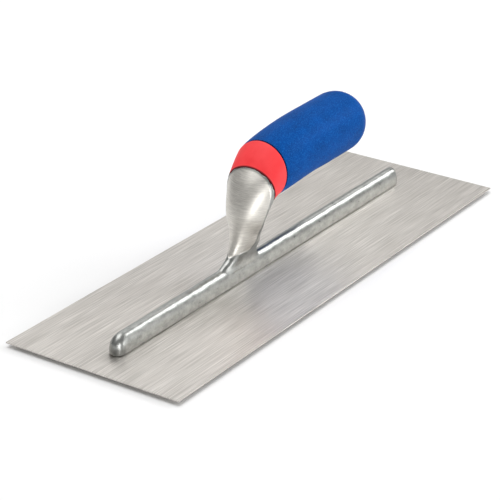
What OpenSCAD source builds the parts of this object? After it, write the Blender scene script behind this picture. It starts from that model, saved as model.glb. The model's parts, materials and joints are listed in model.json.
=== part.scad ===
// Steel finishing trowel: a thin steel blade riveted to a cast rib, whose swan neck carries the handle.
// The blade lies flat on Z = 0 with its centre at the origin. The toe points to -X, the heel to +X.
// The whole tool is mirror-symmetric about the plane Y = 0.

/* [Blade] */
// Length of the blade, toe to heel (14 in)
blade_l = 355.6; // [335:0.1:400]
// Width of the blade (4 1/2 in)
blade_w = 114.3; // [90:0.1:130]
// Thickness of the blade
blade_t = 0.7; // [0.6:0.1:1.2]

/* [Rivets] */
// Number of rivets along the rib
rivet_count = 8; // [4:1:10]
// Distance between neighbouring rivets
rivet_pitch = 39.6; // [30:0.1:40]
// Shift of the row of rivets from the centre of the blade towards the toe
rivet_shift = 7; // [0:0.5:10]
// Diameter of the rivet shank
rivet_d = 3.2; // [2.4:0.1:4]
// Diameter of the countersunk head at the underside of the blade
rivet_head_d = 6.4; // [5:0.1:8]
// Length of the shank inside the rib
rivet_grip = 7; // [4:0.1:9]

/* [Rib] */
// Distance from the centre of the blade to the tip of the rib's nose
rib_toe = 157.5; // [150:0.1:165]
// Distance from the centre of the blade to the rib's heel end
rib_heel = 147.8; // [140:0.1:160]
// Width of the rib
rib_w = 10; // [9:0.1:14]
// Height of the rib above the blade
rib_h = 11.7; // [10.5:0.1:14]
// Rounding of the nose in side view
nose_r = 8; // [4:0.1:9]
// Rounding of the heel end's edges
heel_r = 3.6; // [1:0.1:4.5]

/* [Neck] */
// X of the top of the joint face between the neck and the collar
neck_face_x = -25.4; // [-30:0.1:-22]
// Height of the top of that face
neck_face_top = 67; // [64:0.1:70]
// X of the foot of that face
neck_face_foot_x = -22; // [-25.4:0.1:-20]
// Height of the foot of that face
neck_face_foot = 41.5; // [38:0.1:44]
// Half the width of that face
neck_face_r = 16.3; // [15:0.1:17.5]
// X of the joint face between the collar and the grip
grip_face_x = -13.6; // [-16:0.1:-10]
// Height of the centre of that face
grip_face_z = 62.1; // [60:0.1:64]
// Radius of that face
grip_face_r = 17.7; // [17:0.1:18.2]
// Height of the handle's axis at X = 0
axis_z = 65.2; // [62:0.05:67]
// Rise of the handle's axis towards the heel, in degrees
axis_rise = 1; // [0:0.1:3]
// Radius of the grip's straight stretch and of its round end
grip_r = 19.1; // [17.5:0.1:20]
// Distance along the axis from X = 0 to the start of the straight stretch
grip_straight = 42; // [35:1:50]
// Distance along the axis from X = 0 to the tip of the grip's round end
grip_end = 88.3; // [80:0.1:110]
// Radius of the rigid core inside the grip
core_r = 13.5; // [12:0.1:14]
// Thickness of the grip beyond the end of the core
end_wall = 4; // [3:0.1:6]

/* [Tang and screw] */
// Diameter of the tang
tang_d = 11; // [9:0.1:12]
// Distance along the axis from X = 0 to the end of the tang
tang_end = 34; // [25:0.1:45]
// Diameter of the handle screw
screw_d = 6; // [5:0.5:8]
// Length of the handle screw under its head
screw_l = 45; // [35:1:50]
// Length of the handle screw inside the tang
screw_grip = 14; // [8:1:18]
// Diameter of the screw's head
screw_head_d = 10; // [9:0.1:11]
// Width across the corners of the hexagon socket in the screw's head
screw_key_d = 5.8; // [4:0.1:7]
// Diameter of the washer
washer_d = 12; // [11:0.1:12.5]
// Thickness of the washer
washer_t = 1.2; // [0.8:0.1:2]
// Diameter of the plug in the grip's round end
plug_d = 13; // [12.6:0.1:15]
// Depth of the plug
plug_l = 7; // [5:0.1:10]

/* [Hidden] */

// Play between pieces that are pressed or moulded together
fit_gap = 0.05;
// Play round the tang's cranked root
root_play = 0.5;
// Clearance on the diameter of the holes that the screw passes through
screw_play = 0.4;
// Depth of a blind hole beyond the end of what fills it
hole_rest = 0.5;
// Width of the shoulder at the foot of the core's round end
core_shoulder = 1.5;
// How far the foot of the tang's root is sunk into the neck, and its height
root_sink = 2;
root_z = 53.7;
// Length added to a cutting solid so that it passes clear of the face it cuts
over = 1;
// Corners round a section of a lofted solid
ring_sides = 40;
// Slices between two sections of a lofted solid
loft_slices = 3;

rib_top = blade_t + rib_h;
rivet_first = -rivet_pitch * (rivet_count - 1) / 2 - rivet_shift;
socket_r = tang_d / 2 + fit_gap;
screw_seat = tang_end - screw_grip + screw_l;
washer_seat = screw_seat - washer_t;
screw_hole_depth = 18;
core_start = grip_face_x + 4;
dome_x = grip_end - grip_r;
core_end = grip_end - end_wall;

// Section of the joint face between the neck and the collar, laid out as in neck_sections
neck_face = [neck_face_x, neck_face_top, neck_face_foot_x, neck_face_foot, 0.5, neck_face_r, 2.0];

// Sections of the neck, from inside the rib up to the joint face. Each row holds X and Z of the front
// point, X and Z of the rear point, how far back from front to rear the section is widest, half its
// width there, and the power of the superellipse of its rear half (2 is round, 3 is nearly square).
neck_sections = [
    [-62.0,  9.5, -14.5,  9.5, 0.50,  4.4, 3.0],
    [-54.5, 12.9, -18.0, 12.6, 0.54,  3.9, 3.0],
    [-46.2, 17.5, -20.6, 16.6, 0.60,  5.2, 3.0],
    [-42.2, 24.5, -22.2, 21.6, 0.68,  7.7, 2.9],
    [-40.8, 33.0, -23.3, 27.0, 0.69,  9.3, 2.7],
    [-39.7, 42.0, -24.1, 30.8, 0.64, 11.8, 2.5],
    [-36.8, 50.5, -24.2, 34.2, 0.60, 13.3, 2.3],
    [-31.8, 59.5, -23.4, 38.0, 0.57, 14.9, 2.1],
    neck_face];

// Sections of the collar, laid out as in neck_sections
collar_sections = [
    neck_face,
    [-22.2, 71.7, -19.7, 42.5, 0.5, 16.5, 2.0],
    [-18.2, 76.0, -16.8, 43.5, 0.5, 17.05, 2.0],
    [grip_face_x, grip_face_z + grip_face_r, grip_face_x, grip_face_z - grip_face_r,
        0.5, grip_face_r, 2.0]];

// Sections of the grip's arched front, as the centre's X and Z and the radius
arch_sections = [
    [grip_face_x, grip_face_z, grip_face_r],
    [-9, 62.7, 18.05],
    [-3, 63.35, 18.4],
    [5, 64.15, 18.65],
    [15, 65.0, 18.8],
    [27, 65.75, 18.9],
    [grip_straight, axis_z + grip_straight * tan(axis_rise), grip_r]];

// A smooth curve through list p at place t, where t = 0 is its first item
function item(p, i) = p[max(0, min(len(p) - 1, i))];
function curve(p, t) =
    let (i = min(floor(t), len(p) - 2), u = t - i,
         a = item(p, i - 1), b = item(p, i), c = item(p, i + 1), d = item(p, i + 2))
    b + u * (c - a) / 2
      + u * u * (a - 2.5 * b + 2 * c - d / 2)
      + u * u * u * (3 * b - a - 3 * c + d) / 2;
function slices(p) = [for (k = [0 : loft_slices * (len(p) - 1)]) curve(p, k / loft_slices)];

// Corners of one section, whose row is laid out as in neck_sections
function signed_power(v, e) = sign(v) * pow(abs(v), e);
function section_ring(s) =
    let (front = [s[0], s[1]], rear = [s[2], s[3]], widest = front + (rear - front) * s[4])
    [for (k = [0 : ring_sides - 1])
        let (angle = 360 * k / ring_sides,
             ahead = cos(angle) >= 0,
             e = 2 / (ahead ? 2 : s[6]),
             p = widest + ((ahead ? front : rear) - widest) * pow(abs(cos(angle)), e))
        [p[0], s[5] * signed_power(sin(angle), e), p[1]]];

// Rows for a pipe with upright round sections, from rows of its centre's X and Z and its radius
function upright(p) = [for (s = p) [s[0], s[1] + s[2], s[0], s[1] - s[2], 0.5, s[2], 2]];

// A closed skin through a list of sections
module loft(sections) {
    n = ring_sides;
    last = len(sections) - 1;
    points = [for (s = sections) each section_ring(s)];
    sides = [
        for (r = [0 : last - 1], k = [0 : n - 1])
            let (a = r * n + k, b = r * n + (k + 1) % n)
            each [[a, b, b + n], [a, b + n, a + n]]];
    polyhedron(
        points,
        concat([[for (k = [n - 1 : -1 : 0]) k]], sides, [[for (k = [0 : n - 1]) last * n + k]]),
        convexity = 4);
}

// Puts children that stand along +Z from the origin onto the handle's axis
module on_axis(distance = 0) {
    translate([0, 0, axis_z])
        rotate([0, 90 - axis_rise, 0])
            translate([0, 0, distance])
                children();
}

// Puts children at each rivet
module at_rivets() {
    for (i = [0 : rivet_count - 1])
        translate([rivet_first + i * rivet_pitch, 0, 0])
            children();
}

// A rivet, or with play the hole for it
module rivet(length, play = 0) {
    cylinder(h = blade_t, d1 = rivet_head_d, d2 = rivet_d + 2 * play, $fn = 48);
    cylinder(h = blade_t + length, d = rivet_d + 2 * play, $fn = 48);
}

// Flat steel blade with square corners, countersunk from below
module blade() {
    color("#c9c6c2")
        difference() {
            translate([-blade_l / 2, -blade_w / 2, 0])
                cube([blade_l, blade_w, blade_t]);
            at_rivets()
                rivet(over, fit_gap);
            at_rivets()
                translate([0, 0, -over])
                    cylinder(h = over, d = rivet_head_d, $fn = 48);
        }
}

// Countersunk rivets, flush with the underside of the blade
module blade_rivets() {
    color("#a9a9a8")
        at_rivets()
            rivet(rivet_grip);
}

// Upright sides and a half-round top, seen along the rib
module rib_section() {
    translate([-rib_w / 2, blade_t])
        square([rib_w, rib_h - rib_w / 2]);
    translate([0, rib_top - rib_w / 2])
        circle(d = rib_w, $fn = 64);
}

// Round nose and softened heel corners, seen from above
module rib_plan() {
    nose = rib_w / 2;
    translate([nose - rib_toe, 0])
        circle(r = nose, $fn = 64);
    translate([nose - rib_toe, -rib_w / 2])
        square([rib_toe + rib_heel - nose - heel_r, rib_w]);
    translate([0, heel_r - rib_w / 2])
        square([rib_heel, rib_w - 2 * heel_r]);
    for (side = [-1, 1])
        translate([rib_heel - heel_r, side * (rib_w / 2 - heel_r)])
            circle(r = heel_r, $fn = 48);
}

// Rounded top corners, seen from the side
module rib_side() {
    translate([-rib_toe, blade_t])
        square([rib_toe + rib_heel, rib_h - nose_r]);
    translate([nose_r - rib_toe, blade_t])
        square([rib_toe + rib_heel - nose_r - heel_r, rib_h]);
    translate([nose_r - rib_toe, rib_top - nose_r])
        circle(r = nose_r, $fn = 64);
    translate([0, blade_t])
        square([rib_heel, rib_h - heel_r]);
    translate([rib_heel - heel_r, rib_top - heel_r])
        circle(r = heel_r, $fn = 48);
}

// The rib is what the three outlines have in common
module rib() {
    intersection() {
        translate([-rib_toe - over, 0, 0])
            rotate([90, 0, 90])
                linear_extrude(rib_toe + rib_heel + 2 * over)
                    rib_section();
        linear_extrude(rib_top + over)
            rib_plan();
        translate([0, rib_w / 2 + over, 0])
            rotate([90, 0, 0])
                linear_extrude(rib_w + 2 * over)
                    rib_side();
    }
}

// Cranked root of the tang, which climbs from inside the neck and ends inside the tang
module tang_root(play = 0) {
    hull() {
        translate([neck_face_x - root_sink, 0, root_z])
            rotate([0, 90, 0])
                cylinder(h = root_sink + over, d = tang_d + 2 * play, $fn = 32);
        on_axis(core_start + 2 * over)
            cylinder(h = over, d = tang_d - 1 + 2 * play, $fn = 32);
    }
}

// Tang that the handle is drawn onto
module tang() {
    tang_root();
    on_axis(core_start)
        cylinder(h = tang_end - core_start, d = tang_d, $fn = 64);
}

// One aluminium casting: rib, swan neck and tang, drilled for the rivets and tapped for the screw
module mounting() {
    color("#b9bab6")
        difference() {
            union() {
                rib();
                loft(slices(neck_sections));
                tang();
            }
            at_rivets()
                cylinder(h = blade_t + rivet_grip + hole_rest, d = rivet_d + 2 * fit_gap, $fn = 48);
            on_axis(tang_end - screw_hole_depth)
                cylinder(h = screw_hole_depth + over, d = screw_d + 2 * fit_gap, $fn = 48);
        }
}

// Moulded collar that turns the corner from the neck to the grip, with a hole for the tang's root
module collar() {
    color("#f8454b")
        difference() {
            loft(slices(collar_sections));
            tang_root(root_play);
        }
}

// Outer shape of the rigid core, seen as half a section along the axis
module core_outline() {
    length = core_end - core_start;
    round_r = core_r - core_shoulder;
    square([core_r, length - round_r]);
    translate([0, length - round_r])
        intersection() {
            circle(r = round_r, $fn = 96);
            square([round_r, round_r]);
        }
}

// Rigid core: socket for the tang, clearance for the screw, and a well for its head and the plug
module handle_core() {
    color("#f4f1ea")
        difference() {
            on_axis(core_start)
                rotate_extrude($fn = 96)
                    core_outline();
            on_axis(grip_face_x)
                cylinder(h = tang_end - grip_face_x + hole_rest, r = socket_r, $fn = 64);
            on_axis()
                cylinder(h = grip_end, d = screw_d + screw_play, $fn = 48);
            on_axis(washer_seat)
                cylinder(h = grip_end, d = plug_d + 2 * fit_gap, $fn = 64);
        }
}

// Outer shape of the grip's straight stretch and round end, as half a section along the axis
module grip_outline() {
    translate([0, grip_straight])
        square([grip_r, dome_x - grip_straight]);
    translate([0, dome_x])
        intersection() {
            circle(r = grip_r, $fn = 128);
            square([grip_r, grip_r]);
        }
}

// Soft grip moulded over the core, with an arched front that meets the collar
module grip() {
    color("#0054a6")
        difference() {
            union() {
                loft(slices(upright(arch_sections)));
                on_axis()
                    rotate_extrude($fn = 128)
                        grip_outline();
            }
            on_axis(core_start - fit_gap)
                rotate_extrude($fn = 96)
                    core_outline();
            tang_root(root_play);
            on_axis(core_end - core_r)
                cylinder(h = grip_end, d = plug_d + 2 * fit_gap, $fn = 64);
        }
}

// Hexagon-socket cap screw that draws the core onto the tang
module handle_screw() {
    head_h = screw_d;
    color("#8f9296")
        difference() {
            union() {
                on_axis(screw_seat - screw_l)
                    cylinder(h = screw_l + over, d = screw_d, $fn = 48);
                on_axis(screw_seat)
                    cylinder(h = head_h, d = screw_head_d, $fn = 64);
            }
            on_axis(screw_seat + head_h / 2)
                cylinder(h = head_h, d = screw_key_d, $fn = 6);
        }
}

// Plain washer under the screw's head
module screw_washer() {
    color("#a9a9a8")
        on_axis(washer_seat)
            difference() {
                cylinder(h = washer_t, d = washer_d, $fn = 64);
                translate([0, 0, -over])
                    cylinder(h = washer_t + 2 * over, d = screw_d + screw_play, $fn = 48);
            }
}

// Plug that closes the screw's well, flush with the grip's round end
module end_plug() {
    color("#0054a6")
        intersection() {
            on_axis(dome_x)
                sphere(r = grip_r, $fn = 128);
            on_axis(grip_end - plug_l)
                cylinder(h = plug_l + over, d = plug_d, $fn = 64);
        }
}

blade();
mounting();
blade_rivets();
collar();
handle_core();
grip();
handle_screw();
screw_washer();
end_plug();
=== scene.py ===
"""The looks of a steel finishing trowel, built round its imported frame.

Metres throughout; MM turns a size in millimetres into metres. The toe is at -X, the heel at +X,
the blade's flat underside is at Z = 0 and the tool is mirror-symmetric about Y = 0.
"""
import json
import math

import bmesh
import bpy
from mathutils import Matrix, Vector, noise


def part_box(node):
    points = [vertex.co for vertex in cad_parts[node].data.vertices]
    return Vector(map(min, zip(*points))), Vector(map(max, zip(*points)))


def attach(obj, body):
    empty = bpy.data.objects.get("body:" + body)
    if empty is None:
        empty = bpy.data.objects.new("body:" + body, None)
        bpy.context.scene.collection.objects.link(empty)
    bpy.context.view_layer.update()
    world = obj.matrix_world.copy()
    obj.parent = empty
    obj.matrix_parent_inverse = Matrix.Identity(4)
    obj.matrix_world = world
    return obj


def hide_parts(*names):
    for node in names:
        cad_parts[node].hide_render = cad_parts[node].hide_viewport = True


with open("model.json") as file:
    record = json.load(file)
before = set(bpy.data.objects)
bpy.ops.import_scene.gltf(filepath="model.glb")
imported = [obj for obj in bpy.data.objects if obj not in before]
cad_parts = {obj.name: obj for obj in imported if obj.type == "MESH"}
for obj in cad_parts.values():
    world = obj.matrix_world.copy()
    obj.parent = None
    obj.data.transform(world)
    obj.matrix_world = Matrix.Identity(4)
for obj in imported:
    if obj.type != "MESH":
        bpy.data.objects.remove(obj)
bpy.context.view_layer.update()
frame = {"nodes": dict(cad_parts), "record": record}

MM = 0.001

# ---------------------------------------------------------------- camera

# The camera stands near the toe, on the near long side, and looks down along the rib.
CAMERA_AZIMUTH = -57.537
CAMERA_ELEVATION = 24.311
CAMERA_ROLL = 1.53
CAMERA_DISTANCE = 1167.1 * MM
CAMERA_AIM = Vector((-5.0, 11.7, 4.5)) * MM
CAMERA_LENS = 140.47


def make_camera():
    """Stands the camera at its angle and distance from the point that it aims at."""
    a, e = math.radians(CAMERA_AZIMUTH), math.radians(CAMERA_ELEVATION)
    back = Vector((math.sin(a) * math.cos(e), -math.cos(a) * math.cos(e), math.sin(e)))
    turn = back.to_track_quat("Z", "Y").to_matrix().to_4x4()
    camera = bpy.data.objects.new("camera", bpy.data.cameras.new("camera"))
    camera.matrix_world = (
        Matrix.Translation(CAMERA_AIM + back * CAMERA_DISTANCE)
        @ turn
        @ Matrix.Rotation(math.radians(CAMERA_ROLL), 4, "Z")
    )
    camera.data.lens = CAMERA_LENS
    camera.data.clip_start, camera.data.clip_end = 0.05, 20
    bpy.context.collection.objects.link(camera)
    bpy.context.scene.camera = camera


make_camera()

# ---------------------------------------------------------------- places, read from the frame


def node_box(node):
    """Lowest and highest corner of a CAD node."""
    low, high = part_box(node)
    return Vector(low), Vector(high)


blade_low, blade_high = node_box("blade")
mounting_low, _ = node_box("mounting")
collar_low, collar_high = node_box("collar")
core_low, core_high = node_box("handle_core")
plug_low, plug_high = node_box("end_plug")

BLADE_TOP = blade_high.z
barrel = next(m for m in frame["record"]["mounts"] if m["name"] == "grip_barrel")
AXIS_POINT, AXIS = Vector(barrel["pos_m"]), Vector(barrel["axis"])
GRIP_RADIUS = barrel["dims"]["r_mm"] * MM
DOME = plug_high.x - GRIP_RADIUS
PLUG_RADIUS = (plug_high.y - plug_low.y) / 2
CORE_RADIUS = (core_high.y - core_low.y) / 2
NECK_FACE = collar_low.x
GRIP_FACE = collar_high.x
GRIP_STRAIGHT = AXIS_POINT.x - barrel["dims"]["length_mm"] * MM / 2
TANG_RADIUS = 5.5 * MM
TANG_END = 34 * MM
TANG_ROOT_HEIGHT = 53.7 * MM

# Joint face between the neck and the collar, in mm: X and Z of its top and of its foot, and half its
# width. It leans, with its foot towards the heel.
JOINT_TOP, JOINT_FOOT, JOINT_HALF_WIDTH = (-25.4, 67.0), (-22.0, 41.5), 16.3


def axis_height(x):
    """Height of the handle's axis above the blade's underside at a place along X."""
    return AXIS_POINT.z + (x - AXIS_POINT.x) * AXIS.z / AXIS.x


# ---------------------------------------------------------------- mesh tools


def along(rows, t):
    """A smooth curve through equal rows of numbers, where t = 0 is the first row."""
    i = max(0, min(int(t), len(rows) - 2))
    u = t - i
    a, b, c, d = (rows[max(0, min(len(rows) - 1, i + k))] for k in (-1, 0, 1, 2))
    return [
        q + u * (r - p) / 2 + u * u * (p - 2.5 * q + 2 * r - s / 2) + u**3 * (3 * q - p - 3 * r + s) / 2
        for p, q, r, s in zip(a, b, c, d)
    ]


def blend_in(value, start, end):
    """0 before start, 1 after end, and smooth between them."""
    t = max(0.0, min(1.0, (value - start) / (end - start)))
    return t * t * (3 - 2 * t)


def add_ring(bm, sides, place):
    """A closed ring of edges; place gives each corner's position from its angle."""
    made = bmesh.ops.create_circle(bm, segments=sides, radius=1)["verts"]
    for vert in made:
        vert.co = place(math.atan2(vert.co.y, vert.co.x))
    return made


def edges_of(ring):
    """The edges that run round a ring of corners."""
    inside = set(ring)
    return [e for e in {e for v in ring for e in v.link_edges} if set(e.verts) <= inside]


def skin(bm, rings, closed=False):
    """Joins neighbouring rings with faces. A closed skin also joins the last ring to the first."""
    loops = [edges_of(ring) for ring in rings]
    pairs = list(zip(loops, loops[1:])) + ([(loops[-1], loops[0])] if closed else [])
    for first, second in pairs:
        bmesh.ops.bridge_loops(bm, edges=first + second)


def cap(bm, *rings):
    """Closes each ring with one face."""
    for ring in rings:
        bmesh.ops.contextual_create(bm, geom=edges_of(ring))


def upright_ring(bm, sides, x, z, radius):
    """A round ring that faces along X, centred on the tool's middle plane."""
    return add_ring(bm, sides, lambda a: Vector((x, radius * math.sin(a), z + radius * math.cos(a))))


def finish_piece(name, bm, material, slot, *nodes):
    """Turns a bmesh into a smooth piece that rides on the tool and stands for CAD nodes."""
    bmesh.ops.recalc_face_normals(bm, faces=bm.faces)
    mesh = bpy.data.meshes.new(name)
    bm.to_mesh(mesh)
    bm.free()
    piece = bpy.data.objects.new(name, mesh)
    bpy.context.collection.objects.link(piece)
    mesh.shade_smooth()
    mesh.materials.append(material)
    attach(piece, "root")
    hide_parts(*nodes)
    return piece


# ---------------------------------------------------------------- material tools


def srgb(code):
    """An sRGB hex colour as linear RGBA."""
    parts = [int(code[i : i + 2], 16) / 255 for i in (1, 3, 5)]
    return [c / 12.92 if c <= 0.04045 else ((c + 0.055) / 1.055) ** 2.4 for c in parts] + [1.0]


def set_inputs(tree, node, inputs):
    """Sets each input of a node to a value, or links it to a socket."""
    for name, value in inputs.items():
        if isinstance(value, bpy.types.NodeSocket):
            tree.links.new(value, node.inputs[name])
        else:
            node.inputs[name].default_value = value


def add_node(tree, kind, inputs=None, **settings):
    """Adds a shader node; inputs hold values or the sockets to link, settings its own properties."""
    made = tree.nodes.new("ShaderNode" + kind)
    for name, value in settings.items():
        setattr(made, name, value)
    set_inputs(tree, made, inputs or {})
    return made


def new_material(name, **values):
    """A material with one Principled shader, and the sockets of the object's own coordinates."""
    material = bpy.data.materials.new(name)
    material.use_nodes = True
    tree = material.node_tree
    tree.nodes.clear()
    shader = add_node(tree, "BsdfPrincipled", {k.replace("_", " "): v for k, v in values.items()})
    output = add_node(tree, "OutputMaterial", {"Surface": shader.outputs["BSDF"]})
    output.is_active_output = True
    place = add_node(tree, "TexCoord").outputs["Object"]
    return material, tree, shader, place


def grain(tree, place, size_mm, detail=2.0, roughness=0.5, shift=(0, 0, 0)):
    """Noise whose features are size_mm across along X, Y and Z."""
    spread = add_node(
        tree, "Mapping", {"Vector": place, "Location": shift, "Scale": [1 / (s * MM) for s in size_mm]}
    )
    made = add_node(
        tree,
        "TexNoise",
        {"Vector": spread.outputs["Vector"], "Scale": 1.0, "Detail": detail, "Roughness": roughness},
    )
    return made.outputs["Fac"]


def spread_between(tree, value, low, high, source=(0.3, 0.7)):
    """Takes a value from one range to another, held at both ends."""
    made = add_node(
        tree,
        "MapRange",
        {"Value": value, "From Min": source[0], "From Max": source[1], "To Min": low, "To Max": high},
    )
    return made.outputs["Result"]


def mix_colours(tree, amount, first, second):
    """A colour between two, by an amount from 0 to 1."""
    made = add_node(tree, "Mix", data_type="RGBA")
    set_inputs(tree, made, {0: amount, 6: first, 7: second})
    return made.outputs[2]


def arithmetic(tree, first, second, operation="MULTIPLY"):
    """Joins two values or sockets by one operation."""
    return add_node(tree, "Math", {0: first, 1: second}, operation=operation).outputs[0]


def bump(tree, height, distance_mm, strength, **normal):
    """The normal of a surface raised by a height; Normal can give the surface it starts from."""
    inputs = {"Height": height, "Distance": distance_mm * MM, "Strength": strength, **normal}
    return add_node(tree, "Bump", inputs).outputs["Normal"]


def joint_shade(tree, place, point, normal, start_mm, end_mm):
    """1 beside the joint plane through a point, and 0 further than end_mm along the plane's normal."""
    away = add_node(tree, "VectorMath", {0: place, 1: normal}, operation="DOT_PRODUCT").outputs["Value"]
    base = point.dot(normal)
    return spread_between(tree, away, 1.0, 0.0, (base + start_mm * MM, base + end_mm * MM))


# ---------------------------------------------------------------- materials

# How far from its joint the painted shade reaches in full, and where it ends, in mm.
RED_PAINTED_SHADE, BLUE_PAINTED_SHADE = (0.2, 0.6), (0.6, 1.1)


def brushed_blade_steel():
    """Hardened and tempered steel sheet, belt-brushed along its length: fine bright and dark streaks
    and a satin reflection. The streaks are drawn 0.7 mm wide, about twice as coarse as the grit's."""
    material, tree, shader, place = new_material("brushed_blade_steel", Metallic=1.0, Anisotropic=0.75)
    brushing = add_node(tree, "Tangent", direction_type="RADIAL", axis="X")
    fine = grain(tree, place, (38, 0.7, 40), 3.0, 0.6)
    broad = grain(tree, place, (190, 5.5, 60))
    tone = mix_colours(tree, spread_between(tree, fine, 0, 1), srgb("#aeaaa4"), srgb("#eae6e1"))
    tone = mix_colours(tree, spread_between(tree, broad, 0, 0.45), tone, srgb("#c6c1bb"))
    look = {
        "Tangent": brushing.outputs["Tangent"],
        "Base Color": tone,
        "Roughness": spread_between(tree, fine, 0.40, 0.52),
        "Normal": bump(tree, fine, 0.012, 0.5),
    }
    set_inputs(tree, shader, look)
    return material


def cast_aluminium():
    """Tumbled aluminium casting: mottled satin grey with small pits. Where the attribute linished
    is 1, a belt has cut it back to bright metal with fine scratches across the neck."""
    material, tree, shader, place = new_material("cast_aluminium", Metallic=1.0)
    linished = add_node(tree, "Attribute", attribute_name="linished").outputs["Fac"]
    mottle = grain(tree, place, (4.5, 3.0, 3.0), 5.0, 0.65)
    speck = grain(tree, place, (0.9, 0.9, 0.9), 3.0, 0.6, shift=(3, 7, 1))
    scratch = grain(tree, place, (7, 7, 0.28), 4.0, 0.7, shift=(0, 0, 5))
    cast = mix_colours(tree, spread_between(tree, mottle, 0, 1), srgb("#8e908d"), srgb("#b4b5b2"))
    pits = spread_between(tree, speck, 0.35, 0.0, (0.28, 0.45))
    cast = mix_colours(tree, pits, cast, srgb("#808283"))
    belt = mix_colours(tree, spread_between(tree, scratch, 0, 1), srgb("#bfbcb5"), srgb("#f0ede6"))
    rough_cast = spread_between(tree, mottle, 0.27, 0.4)
    rough_belt = spread_between(tree, scratch, 0.38, 0.52)
    pebble = arithmetic(tree, mottle, arithmetic(tree, speck, 0.25), "ADD")
    pebble_strength = arithmetic(tree, 0.3, arithmetic(tree, linished, 0.25), "SUBTRACT")
    cast_normal = bump(tree, pebble, 0.06, pebble_strength)
    look = {
        "Base Color": mix_colours(tree, linished, cast, belt),
        "Roughness": add_node(tree, "Mix", {0: linished, 2: rough_cast, 3: rough_belt}).outputs[0],
        "Normal": bump(tree, scratch, 0.05, arithmetic(tree, linished, 0.8), Normal=cast_normal),
    }
    set_inputs(tree, shader, look)
    return material


def red_polypropylene():
    """Injection-moulded polypropylene off a lightly sparked tool: an even matte coral red with a
    faint skin texture and a wide, weak highlight, and painted shade darkening it beside the joint."""
    material, tree, shader, place = new_material(
        "red_polypropylene", Roughness=0.5, Specular_IOR_Level=0.3
    )
    cloud = grain(tree, place, (9, 9, 9), 3.0)
    skin_grain = grain(tree, place, (0.6, 0.6, 0.6))
    tone = mix_colours(tree, spread_between(tree, cloud, 0, 1), srgb("#f83a3f"), srgb("#ff464a"))
    top = Vector((JOINT_TOP[0], 0, JOINT_TOP[1])) * MM
    normal = Vector((JOINT_TOP[1] - JOINT_FOOT[1], 0, JOINT_FOOT[0] - JOINT_TOP[0])).normalized()
    # Painted shade: the red turns dark maroon beside the joint with the neck, where the gap would lie in
    # shadow.
    tone = mix_colours(tree, joint_shade(tree, place, top, normal, *RED_PAINTED_SHADE), tone, srgb("#5e1518"))
    set_inputs(tree, shader, {"Base Color": tone, "Normal": bump(tree, skin_grain, 0.03, 0.35)})
    return material


def blue_elastomer():
    """Thermoplastic elastomer moulded over the core: matte, deep blue, with a fine pebbled grain
    and a few paler rubbed places, and painted shade darkening it beside the joint."""
    material, tree, shader, place = new_material("blue_elastomer", Roughness=0.5, Specular_IOR_Level=0.04)
    cloud = grain(tree, place, (14, 9, 9), 4.0, 0.6)
    pebble = grain(tree, place, (0.75, 0.75, 0.75), 3.0, 0.6)
    tone = mix_colours(tree, spread_between(tree, cloud, 0, 1), srgb("#003f84"), srgb("#004c9c"))
    rubbed = spread_between(tree, pebble, 0.0, 0.5, (0.46, 0.68))
    tone = mix_colours(tree, rubbed, tone, srgb("#1a70ca"))
    face = Vector((GRIP_FACE, 0, 0))
    # Painted shade: the blue turns dark navy beside the joint face with the collar, where the gap would
    # lie in shadow.
    shade = joint_shade(tree, place, face, Vector((1, 0, 0)), *BLUE_PAINTED_SHADE)
    tone = mix_colours(tree, shade, tone, srgb("#021634"))
    set_inputs(tree, shader, {"Base Color": tone, "Normal": bump(tree, pebble, 0.12, 0.7)})
    return material


def blue_polypropylene():
    """Moulded plug in the grip's colour: the same blue, smoother and a little glossier."""
    material, tree, shader, place = new_material(
        "blue_polypropylene", Roughness=0.45, Specular_IOR_Level=0.3
    )
    skin_grain = grain(tree, place, (0.6, 0.6, 0.6))
    tone = mix_colours(tree, spread_between(tree, skin_grain, 0, 1), srgb("#004486"), srgb("#004d96"))
    set_inputs(tree, shader, {"Base Color": tone, "Normal": bump(tree, skin_grain, 0.03, 0.3)})
    return material


def white_polypropylene():
    """Natural polypropylene of the hidden core: milky white, with faint flow marks along it."""
    material, tree, shader, place = new_material("white_polypropylene", Roughness=0.45)
    flow = grain(tree, place, (25, 4, 4), 3.0)
    tone = mix_colours(tree, spread_between(tree, flow, 0, 1), srgb("#e4dfd2"), srgb("#f3efe6"))
    set_inputs(tree, shader, {"Base Color": tone, "Normal": bump(tree, flow, 0.03, 0.3)})
    return material


def ground_rivet_steel():
    """Soft steel rivets ground flush with the blade: the blade's streaks, a shade darker."""
    material, tree, shader, place = new_material("ground_rivet_steel", Metallic=1.0)
    fine = grain(tree, place, (12, 0.5, 12), 3.0, 0.6, shift=(2, 9, 4))
    look = {
        "Base Color": mix_colours(
            tree, spread_between(tree, fine, 0, 1), srgb("#9a9896"), srgb("#bcbab7")
        ),
        "Roughness": spread_between(tree, fine, 0.32, 0.5),
        "Normal": bump(tree, fine, 0.012, 0.6),
    }
    set_inputs(tree, shader, look)
    return material


def zinc_plated_steel():
    """Bright zinc on a machine-made screw and washer: bluish grey with a cloudy passivated film."""
    material, tree, shader, place = new_material("zinc_plated_steel", Metallic=1.0)
    film = grain(tree, place, (3, 3, 3), 4.0, 0.6)
    tone = mix_colours(tree, spread_between(tree, film, 0, 1), srgb("#9ea3a8"), srgb("#c9ccce"))
    look = {"Base Color": tone, "Roughness": spread_between(tree, film, 0.22, 0.38)}
    set_inputs(tree, shader, look)
    return material


blade_steel = brushed_blade_steel()
casting = cast_aluminium()
red_plastic = red_polypropylene()
blue_rubber = blue_elastomer()
blue_plastic = blue_polypropylene()
white_plastic = white_polypropylene()
rivet_steel = ground_rivet_steel()
zinc_steel = zinc_plated_steel()

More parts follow.
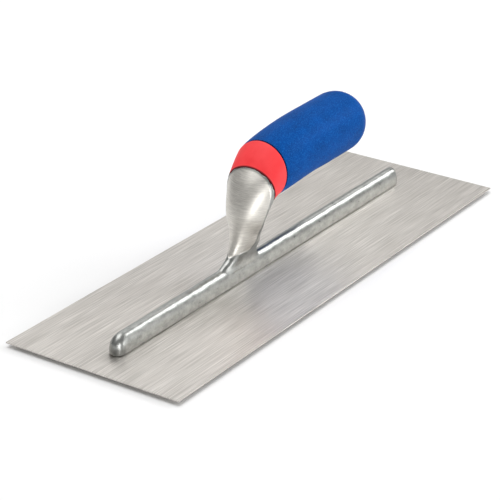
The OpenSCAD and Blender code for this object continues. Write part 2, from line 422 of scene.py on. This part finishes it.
for node, material in (
    ("blade_rivets", rivet_steel),
    ("handle_core", white_plastic),
    ("handle_screw", zinc_steel),
    ("screw_washer", zinc_steel),
):
    for slot in frame["nodes"][node].material_slots:
        slot.material = material

# ---------------------------------------------------------------- blade

EDGE_BREAK = 0.12 * MM
# Faces that meet below the first angle are one flat, and edges above the second are broken.
FLAT_ANGLE, EDGE_ANGLE = math.radians(1), math.radians(50)


def make_blade():
    """The blade with its countersunk holes, its sheared edges just broken."""
    bm = bmesh.new()
    bm.from_mesh(frame["nodes"]["blade"].data)
    bmesh.ops.remove_doubles(bm, verts=bm.verts, dist=0.001 * MM)
    bmesh.ops.dissolve_limit(bm, angle_limit=FLAT_ANGLE, verts=bm.verts, edges=bm.edges)
    piece = finish_piece("blade_sheet", bm, blade_steel, "blade_steel", "blade")
    piece.data.shade_flat()
    edge = piece.modifiers.new("broken_edges", "BEVEL")
    edge.width, edge.segments = EDGE_BREAK, 2
    edge.limit_method, edge.angle_limit = "ANGLE", EDGE_ANGLE


make_blade()

# ---------------------------------------------------------------- mounting

RIB_HALF_WIDTH = 5.0 * MM
RIB_TOP = BLADE_TOP + 11.7 * MM
NOSE_ROUNDING = 8.0 * MM
HEEL_ROUNDING = 3.6 * MM
RIB_TOE = mounting_low.x
RIB_HEEL = 147.8 * MM
CASTING_GRID = 0.5 * MM

# The rib's section is widest at a share of its height. Above that it is an ellipse, and below it a
# superellipse with the foot's exponent, which is nearly square.
RIB_SHOULDER = 0.25
RIB_ROUND, RIB_FOOT = 1.0, 0.2

# Distances of the rib's sections from either of its ends, in mm.
RIB_STATIONS = (0.02, 0.15, 0.45, 0.9, 1.5, 2.3, 3.3, 4.5, 6, 8)

# Sections of the neck in mm, from inside the rib up to the joint face: X and Z of the front point, X
# and Z of the rear point, how far back the section is widest, half its width there, and the power
# of the superellipse of its rear half.
NECK_SECTIONS = (
    (-62.0, 9.5, -14.5, 9.5, 0.50, 4.4, 3.0),
    (-54.5, 12.9, -18.0, 12.6, 0.54, 3.9, 3.0),
    (-46.2, 17.5, -20.6, 16.6, 0.60, 5.2, 3.0),
    (-42.2, 24.5, -22.2, 21.6, 0.68, 7.7, 2.9),
    (-40.8, 33.0, -23.3, 27.0, 0.69, 9.3, 2.7),
    (-39.7, 42.0, -24.1, 30.8, 0.64, 11.8, 2.5),
    (-36.8, 50.5, -24.2, 34.2, 0.60, 13.3, 2.3),
    (-31.8, 59.5, -23.4, 38.0, 0.57, 14.9, 2.1),
    (*JOINT_TOP, *JOINT_FOOT, 0.50, JOINT_HALF_WIDTH, 2.0),
)
NECK_STEPS = 6
TUBE_SIDES = 64

# How far the foot of the tang's root is sunk into the neck, and how far it stands out of it.
ROOT_SUNK, ROOT_OUT = 2 * MM, 1 * MM
ROOT_SIDES = 48

SMOOTHING_ROUNDS = 6

# The linished area in mm. Its rear edge is at BELT_EDGE along X; towards the foot of the neck it
# moves ahead, and towards the head it moves back, each between two heights. Its lower edge is a step
# that rises away from the middle plane.
BELT_EDGE, BELT_EDGE_SOFTNESS = -29.5, 0.25
BELT_FOOT_SHIFT, BELT_FOOT_HEIGHTS = -5.0, (27, 15)
BELT_HEAD_SHIFT, BELT_HEAD_HEIGHTS = 3.5, (33, 58)
BELT_STEP, BELT_STEP_RISE, BELT_STEP_SOFTNESS = 17.6, 0.35, 0.3
BELT_DEPTH = 0.3

# Swells of the cast skin: size across and height in mm. They start and are full at two heights, and
# the belt takes away most of them.
BROAD_SWELL, FINE_SWELL = (9.0, 0.16), (3.5, 0.07)
FINE_SWELL_SHIFT = Vector((9, 2, 5))
SWELL_HEIGHTS = (1.2, 4.0)
BELT_FLATTENING = 0.8


def rounding_loss(distance, radius):
    """How far a rounded edge falls back at a distance from the end of the part."""
    d = max(0.0, min(radius, distance))
    return radius - math.sqrt(radius**2 - (radius - d) ** 2)


def rib_ring(bm, x):
    """Section of the rib: a round top on nearly upright sides, with rounded toe and heel ends."""
    toe, heel = x - RIB_TOE, RIB_HEEL - x
    width = RIB_HALF_WIDTH - rounding_loss(toe, RIB_HALF_WIDTH) - rounding_loss(heel, HEEL_ROUNDING)
    top = RIB_TOP - rounding_loss(toe, NOSE_ROUNDING) - rounding_loss(heel, HEEL_ROUNDING)
    shoulder = BLADE_TOP + RIB_SHOULDER * (top - BLADE_TOP)

    def place(a):
        c, s = math.cos(a), math.sin(a)
        share, reach = (RIB_ROUND, top - shoulder) if s >= 0 else (RIB_FOOT, shoulder - BLADE_TOP)
        y = width * math.copysign(abs(c) ** share, c)
        return Vector((x, y, shoulder + reach * math.copysign(abs(s) ** share, s)))

    return add_ring(bm, TUBE_SIDES, place)


def neck_ring(bm, row, sides=TUBE_SIDES, inset=0.0):
    """Section of the neck, rounded in front and squarer behind, drawn in by an inset in mm."""
    front = Vector((row[0], 0, row[1])) * MM
    rear = Vector((row[2], 0, row[3])) * MM
    widest = front.lerp(rear, row[4])
    front += (widest - front).normalized() * inset * MM
    rear += (widest - rear).normalized() * inset * MM
    half = (row[5] - inset) * MM

    def place(a):
        c, s = math.cos(a), math.sin(a)
        end, power = (front, 2.0) if c >= 0 else (rear, row[6])
        side = Vector((0, math.copysign(abs(s) ** (2 / power), s) * half, 0))
        return widest + (end - widest) * abs(c) ** (2 / power) + side

    return add_ring(bm, sides, place)


def make_rib(bm):
    """The half-round bar along the blade, straight between its two ends."""
    toe = [RIB_TOE + d * MM for d in RIB_STATIONS]
    heel = [RIB_HEEL - d * MM for d in reversed(RIB_STATIONS)]
    rings = [rib_ring(bm, x) for x in toe + heel]
    skin(bm, rings)
    cap(bm, rings[0], rings[-1])


def make_neck(bm):
    """The swan neck, whose foot is buried in the rib."""
    count = NECK_STEPS * (len(NECK_SECTIONS) - 1) + 1
    rings = [neck_ring(bm, along(NECK_SECTIONS, k / NECK_STEPS)) for k in range(count)]
    skin(bm, rings)
    cap(bm, rings[0], rings[-1])


def make_tang(bm):
    """The cranked root and the straight tang, hidden inside the collar and the core."""
    rows = (
        (NECK_FACE - ROOT_SUNK, TANG_ROOT_HEIGHT),
        (NECK_FACE + ROOT_OUT, TANG_ROOT_HEIGHT),
        (core_low.x, axis_height(core_low.x)),
        (TANG_END, axis_height(TANG_END)),
    )
    rings = [upright_ring(bm, ROOT_SIDES, x, z, TANG_RADIUS) for x, z in rows]
    skin(bm, rings)
    cap(bm, rings[0], rings[-1])


def melted(bm, grid, rounds):
    """Melts overlapping closed shells into one skin on a fine grid, then smooths it."""
    mesh = bpy.data.meshes.new("shells")
    bmesh.ops.recalc_face_normals(bm, faces=bm.faces)
    bm.to_mesh(mesh)
    bm.free()
    shells = bpy.data.objects.new("shells", mesh)
    bpy.context.collection.objects.link(shells)
    melt = shells.modifiers.new("melt", "REMESH")
    melt.mode, melt.voxel_size, melt.adaptivity = "VOXEL", grid, 0
    whole = bmesh.new()
    whole.from_object(shells, bpy.context.evaluated_depsgraph_get())
    bpy.data.objects.remove(shells)
    for _ in range(rounds):
        bmesh.ops.smooth_vert(
            whole, verts=whole.verts, factor=0.5, use_axis_x=True, use_axis_y=True, use_axis_z=True
        )
    return whole


def linish_amount(p):
    """1 where the belt has cut the front of the neck, 0 on the cast skin, from a place in mm."""
    foot = BELT_FOOT_SHIFT * blend_in(p.z, *BELT_FOOT_HEIGHTS)
    edge = BELT_EDGE + foot + BELT_HEAD_SHIFT * blend_in(p.z, *BELT_HEAD_HEIGHTS)
    step = BELT_STEP + BELT_STEP_RISE * abs(p.y)
    ahead = blend_in(p.x, edge + BELT_EDGE_SOFTNESS, edge - BELT_EDGE_SOFTNESS)
    above = blend_in(p.z, step - BELT_STEP_SOFTNESS, step + BELT_STEP_SOFTNESS)
    return ahead * above


def swell_amount(p):
    """Height of the swells in mm at a place in mm."""
    broad = noise.noise(p / BROAD_SWELL[0]) * BROAD_SWELL[1]
    return broad + noise.noise(p / FINE_SWELL[0] + FINE_SWELL_SHIFT) * FINE_SWELL[1]


def make_mounting():
    """Rib, neck and tang in one casting, with its cast skin and its linished front."""
    bm = bmesh.new()
    make_rib(bm)
    make_neck(bm)
    make_tang(bm)
    bm = melted(bm, CASTING_GRID, SMOOTHING_ROUNDS)
    cut = bm.verts.layers.float.new("linished")
    for vert in bm.verts:
        p = vert.co / MM
        belt = linish_amount(p)
        vert[cut] = belt
        height = swell_amount(p) * (1 - BELT_FLATTENING * belt) * blend_in(p.z, *SWELL_HEIGHTS)
        vert.co += vert.normal * (height - BELT_DEPTH * belt) * MM
    finish_piece("mounting_casting", bm, casting, "cast_aluminium", "mounting")


make_mounting()

# ---------------------------------------------------------------- collar

# Depth of the groove at a joint, in mm.
JOINT_GROOVE = 0.7

# A moulded rim: distances from the joint face in mm, and shares of the groove's depth there.
RIM = ((0.30, 2.6), (0.32, 0.5), (0.46, 0.12), (0.75, 0.0))

# Centre's X and Z and the radius of the joint face between collar and grip, in mm.
GRIP_JOINT = (-13.6, 62.1, 17.7)

# Sections of the collar, laid out as those of the neck.
COLLAR_SECTIONS = (
    NECK_SECTIONS[-1],
    (-22.2, 71.7, -19.7, 42.5, 0.5, 16.5, 2.0),
    (-18.2, 76.0, -16.8, 43.5, 0.5, 17.05, 2.0),
    (-13.6, 79.8, -13.6, 44.4, 0.5, 17.7, 2.0),
)
# Steps from one of the collar's sections to the next, and about how far apart in mm the sections are.
COLLAR_STEPS, COLLAR_PACE = 6, 5.5
COLLAR_SIDES = 128

# The bore round the tang's root: its play, how far it lies below the handle's axis at the grip's
# face, and how far from the neck's end it stops.
BORE_PLAY, BORE_DIP, BORE_END = 0.8 * MM, 1.5 * MM, 2 * MM


def make_collar():
    """A ring that turns the corner, with rounded rims that leave a thin groove at each joint."""
    bm = bmesh.new()
    last = len(COLLAR_SECTIONS) - 1
    body = [(k / COLLAR_STEPS, 0.0) for k in range(2, COLLAR_STEPS * last - 1)]
    front = [(d / COLLAR_PACE, fall) for d, fall in RIM]
    rear = [(last - d / COLLAR_PACE, fall) for d, fall in reversed(RIM)]
    rings = [
        neck_ring(bm, along(COLLAR_SECTIONS, t), COLLAR_SIDES, JOINT_GROOVE * fall)
        for t, fall in front + body + rear
    ]
    bore = [(GRIP_FACE, axis_height(GRIP_FACE) - BORE_DIP), (NECK_FACE + BORE_END, TANG_ROOT_HEIGHT)]
    rings += [upright_ring(bm, COLLAR_SIDES, x, z, TANG_RADIUS + BORE_PLAY) for x, z in bore]
    skin(bm, rings, closed=True)
    finish_piece("collar_moulding", bm, red_plastic, "collar_plastic", "collar")


make_collar()

# ---------------------------------------------------------------- grip

# Sections of the grip's arched front: the centre's X and Z and the radius, in mm.
ARCH_SECTIONS = (
    GRIP_JOINT,
    (-9.0, 62.7, 18.05),
    (-3.0, 63.35, 18.4),
    (5.0, 64.15, 18.65),
    (15.0, 65.0, 18.8),
    (27.0, 65.75, 18.9),
    (GRIP_STRAIGHT / MM, axis_height(GRIP_STRAIGHT) / MM, GRIP_RADIUS / MM),
)
ARCH_STEPS = 30
BARREL_STATIONS = (50 * MM, 60 * MM, DOME - 3 * MM)
DOME_STEPS = 24
GRIP_SIDES = 160

# The mould's parting line, and how far the rest of the grip lies inside its CAD surface.
PARTING_WIDTH = 0.5 * MM
PARTING_HEIGHT = 0.08 * MM
SKIN = 0.1 * MM

# Gap round the plug, the softened edge of its hole, and the rounded far end of the core.
PLUG_GAP, HOLE_EDGE = 0.1 * MM, 0.25 * MM
CORE_SHOULDER = 1.5 * MM


def pipe_rows(table, steps):
    """Rows of X, Z and radius in metres along a table of sections in mm."""
    last = len(table) - 1
    return [[v * MM for v in along(table, last * k / steps)] for k in range(steps + 1)]


def rim_rows(start):
    """Rows that round the grip's rim off from its joint face."""
    x, z, r = start
    return [(x + d * MM, z, r - JOINT_GROOVE * fall * MM) for d, fall in RIM]


def grip_ring(bm, x, z, radius):
    """A ring of the grip, with the mould's parting line raised along its top and bottom."""

    def place(a):
        line = PARTING_HEIGHT * max(0.0, 1 - abs(radius * math.sin(a)) / PARTING_WIDTH)
        r = radius - SKIN + line
        return Vector((x, r * math.sin(a), z + r * math.cos(a)))

    return add_ring(bm, GRIP_SIDES, place)


def make_grip():
    """A soft shell round the core: arched front, straight barrel, round end with the plug's hole."""
    bm = bmesh.new()
    arch = pipe_rows(ARCH_SECTIONS, ARCH_STEPS)
    outer = rim_rows(arch[0]) + [row for row in arch if row[0] > arch[0][0] + 1 * MM]
    outer += [(x, axis_height(x), GRIP_RADIUS) for x in BARREL_STATIONS]
    hole = PLUG_RADIUS + PLUG_GAP
    dome_turn = math.pi / 2 - math.asin((hole + HOLE_EDGE) / GRIP_RADIUS)
    for k in range(DOME_STEPS + 1):
        a = dome_turn * k / DOME_STEPS
        x = DOME + (GRIP_RADIUS - SKIN) * math.sin(a)
        outer.append((x, axis_height(x), GRIP_RADIUS * math.cos(a)))
    core_round = CORE_RADIUS - CORE_SHOULDER
    # The hollow that holds the core: rows of X and radius, from the plug's hole back to the collar.
    cavity = [
        (outer[-1][0] - 0.3 * MM, hole),
        (core_high.x - 1.5 * MM, hole),
        (core_high.x - 3 * MM, core_round * 0.66),
        (core_high.x - 6 * MM, core_round * 0.87),
        (core_high.x - core_round, CORE_RADIUS),
        (core_low.x + 0.2 * MM, CORE_RADIUS),
        (core_low.x, TANG_RADIUS + 1 * MM),
        (GRIP_FACE, TANG_RADIUS + 1 * MM),
    ]
    rings = [grip_ring(bm, *row) for row in outer]
    rings += [upright_ring(bm, GRIP_SIDES, x, axis_height(x), r) for x, r in cavity]
    skin(bm, rings, closed=True)
    finish_piece("grip_overmoulding", bm, blue_rubber, "grip_rubber", "grip")


make_grip()

# ---------------------------------------------------------------- plug

PLUG_SIDES = 64
# The plug's face: shares of its radius, from the middle outwards. Its side: distances back from the
# face's rim and losses of radius, in mm.
PLUG_FACE = (0.02, 0.2, 0.4, 0.6, 0.8, 0.93)
PLUG_SIDE = ((0.05, 0.12), (0.3, 0.0), (3.0, 0.0), (6.0, 0.0), (6.3, 0.3))
# How far the plug's face lies below the grip's.
PLUG_SUNK = 0.05 * MM


def make_plug():
    """A push-in plug whose face carries on the grip's round end."""
    bm = bmesh.new()
    round_end = GRIP_RADIUS - SKIN - PLUG_SUNK
    rows = []
    for share in PLUG_FACE:
        r = PLUG_RADIUS * share
        rows.append((DOME + math.sqrt(round_end**2 - r**2), r))
    rim_x = DOME + math.sqrt(round_end**2 - PLUG_RADIUS**2)
    rows += [(rim_x - back * MM, PLUG_RADIUS - loss * MM) for back, loss in PLUG_SIDE]
    rings = [upright_ring(bm, PLUG_SIDES, x, axis_height(x), r) for x, r in rows]
    skin(bm, rings)
    cap(bm, rings[0], rings[-1])
    finish_piece("end_plug_moulding", bm, blue_plastic, "plug_plastic", "end_plug")


make_plug()

# ---------------------------------------------------------------- floor and light

FLOOR_HALF_WIDTH = 4
# How far the table lies below the blade, which leaves the soft dark edge under it.
FLOOR_DROP = 2.4 * MM
SURROUND_STRENGTH = 0.32

# Soft boxes: name, place, height of the point they face over the origin, width and height in metres,
# and power in watts.
SOFT_BOXES = (
    ("key_box", (1.62, -0.96, 0.93), 0.03, 0.7, 0.7, 11),
    ("streak_box", (1.6, 0.15, 1.35), 0.03, 0.45, 0.45, 3),
    ("front_box", (-1.33, -1.38, 0.2), 0.05, 0.6, 0.8, 13),
    ("near_box", (0.8, -2.0, 0.28), 0.05, 1.0, 0.7, 8),
    ("back_box", (1.0, 1.35, 1.25), 0, 1.6, 1.6, 7),
    ("top_box", (-0.2, 0.3, 2.2), 0, 2.0, 2.0, 31),
)


def make_floor():
    """A plain white table that the tool lies on."""
    bm = bmesh.new()
    bmesh.ops.create_grid(bm, x_segments=1, y_segments=1, size=FLOOR_HALF_WIDTH)
    bmesh.ops.translate(bm, verts=bm.verts, vec=(0, 0, blade_low.z - FLOOR_DROP))
    mesh = bpy.data.meshes.new("floor")
    bm.to_mesh(mesh)
    bm.free()
    floor = bpy.data.objects.new("floor", mesh)
    bpy.context.collection.objects.link(floor)
    material, tree, shader, place = new_material("white_table", Roughness=0.9)
    tone = mix_colours(tree, grain(tree, place, (400, 400, 400)), srgb("#fafafa"), srgb("#fdfdfd"))
    set_inputs(tree, shader, {"Base Color": tone})
    mesh.materials.append(material)


def soft_box(name, place, target_height, width, height, power):
    """A soft box at a place, turned towards a point over the origin."""
    data = bpy.data.lights.new(name, "AREA")
    data.shape, data.size, data.size_y = "RECTANGLE", width, height
    data.energy = power
    lamp = bpy.data.objects.new(name, data)
    lamp.location = place
    way = Vector((0, 0, target_height)) - Vector(place)
    lamp.rotation_euler = way.to_track_quat("-Z", "Y").to_euler()
    bpy.context.collection.objects.link(lamp)


def make_light():
    """A dim white surround, with soft boxes at the heel, in front, on the near side, behind and above."""
    world = bpy.data.worlds.new("surround")
    world.use_nodes = True
    background = world.node_tree.nodes["Background"]
    background.inputs["Strength"].default_value = SURROUND_STRENGTH
    background.inputs["Color"].default_value = srgb("#ffffff")
    bpy.context.scene.world = world
    for row in SOFT_BOXES:
        soft_box(*row)
    bpy.context.scene.view_settings.view_transform = "Standard"


make_floor()
make_light()
